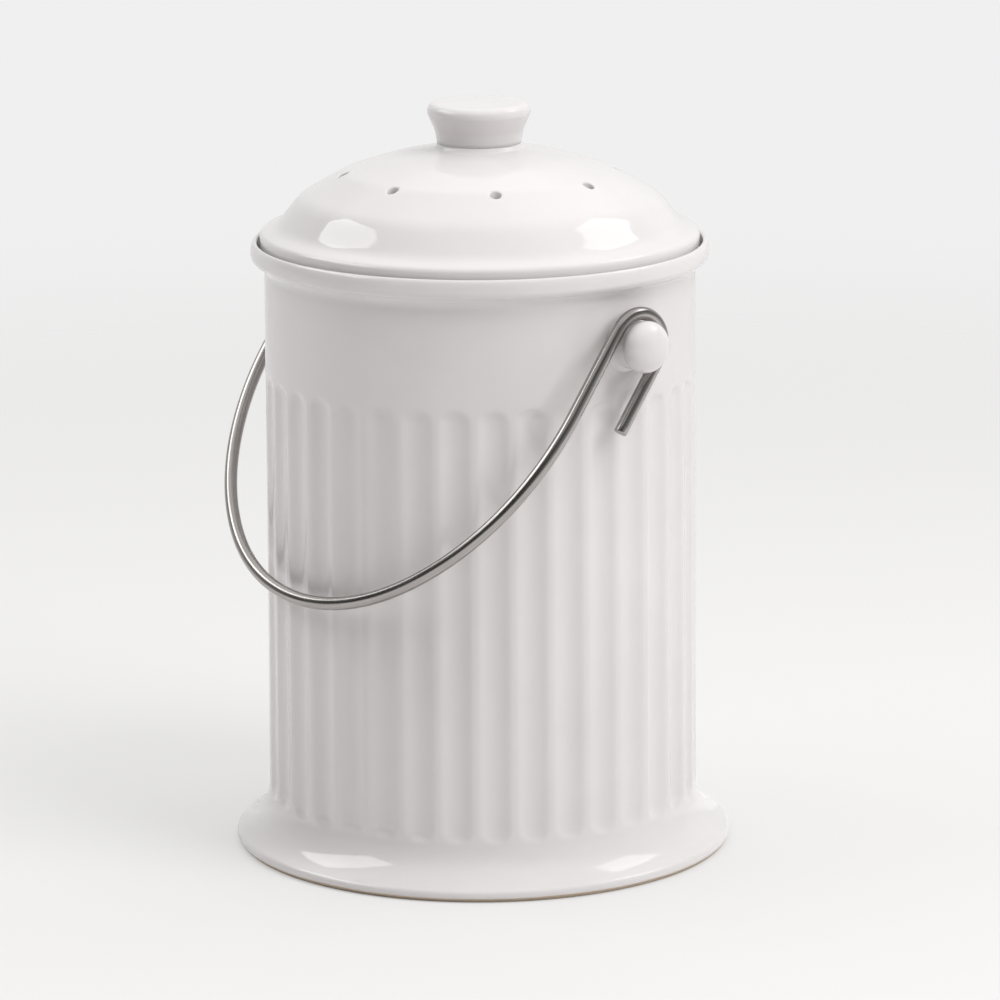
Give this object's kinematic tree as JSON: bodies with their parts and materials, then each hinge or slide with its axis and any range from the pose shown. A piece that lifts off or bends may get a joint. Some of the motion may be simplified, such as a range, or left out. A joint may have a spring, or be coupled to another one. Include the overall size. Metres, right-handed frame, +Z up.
{
  "type": "compost crock",
  "caption": "Fluted glazed stoneware compost crock for the worktop, with a loose vented lid, a turned knob, a charcoal filter under the lid and a swinging wire bail.",
  "frame": {"origin": "middle of the foot ring, on the surface that the crock stands on", "axes": "+Z up; X along the axis of the two lugs, with right_lug at +X; the bail hangs towards -Y"},
  "size_m": [0.1956, 0.184, 0.2768],
  "materials": {
    "glazed_stoneware": "gloss white glaze, bare clay line at the foot",
    "stainless_wire": "drawn and lightly polished",
    "charcoal_felt": "matte carbon-filled felt"
  },
  "bodies": {
    "crock": {"crock_body": "glazed_stoneware", "right_lug": "glazed_stoneware", "left_lug": "glazed_stoneware"},
    "bail": {"bail_handle": "stainless_wire"},
    "lid": {"lid": "glazed_stoneware", "lid_knob": "glazed_stoneware"},
    "filter": {"charcoal_filter": "charcoal_felt"}
  },
  "joints": [
    {"name": "bail_swing", "type": "hinge", "parent": "crock", "child": "bail", "pos_m": [0, 0, 0.199], "axis": [-1, 0, 0], "range_deg": [0, 277]},
    {"name": "lid_lift", "type": "slide", "parent": "crock", "child": "lid", "axis": [0, 0, 1], "range_m": [0, 0.14]},
    {"name": "filter_pull", "type": "slide", "parent": "lid", "child": "filter", "axis": [0, 0, -1], "range_m": [0, 0.03]}
  ]
}
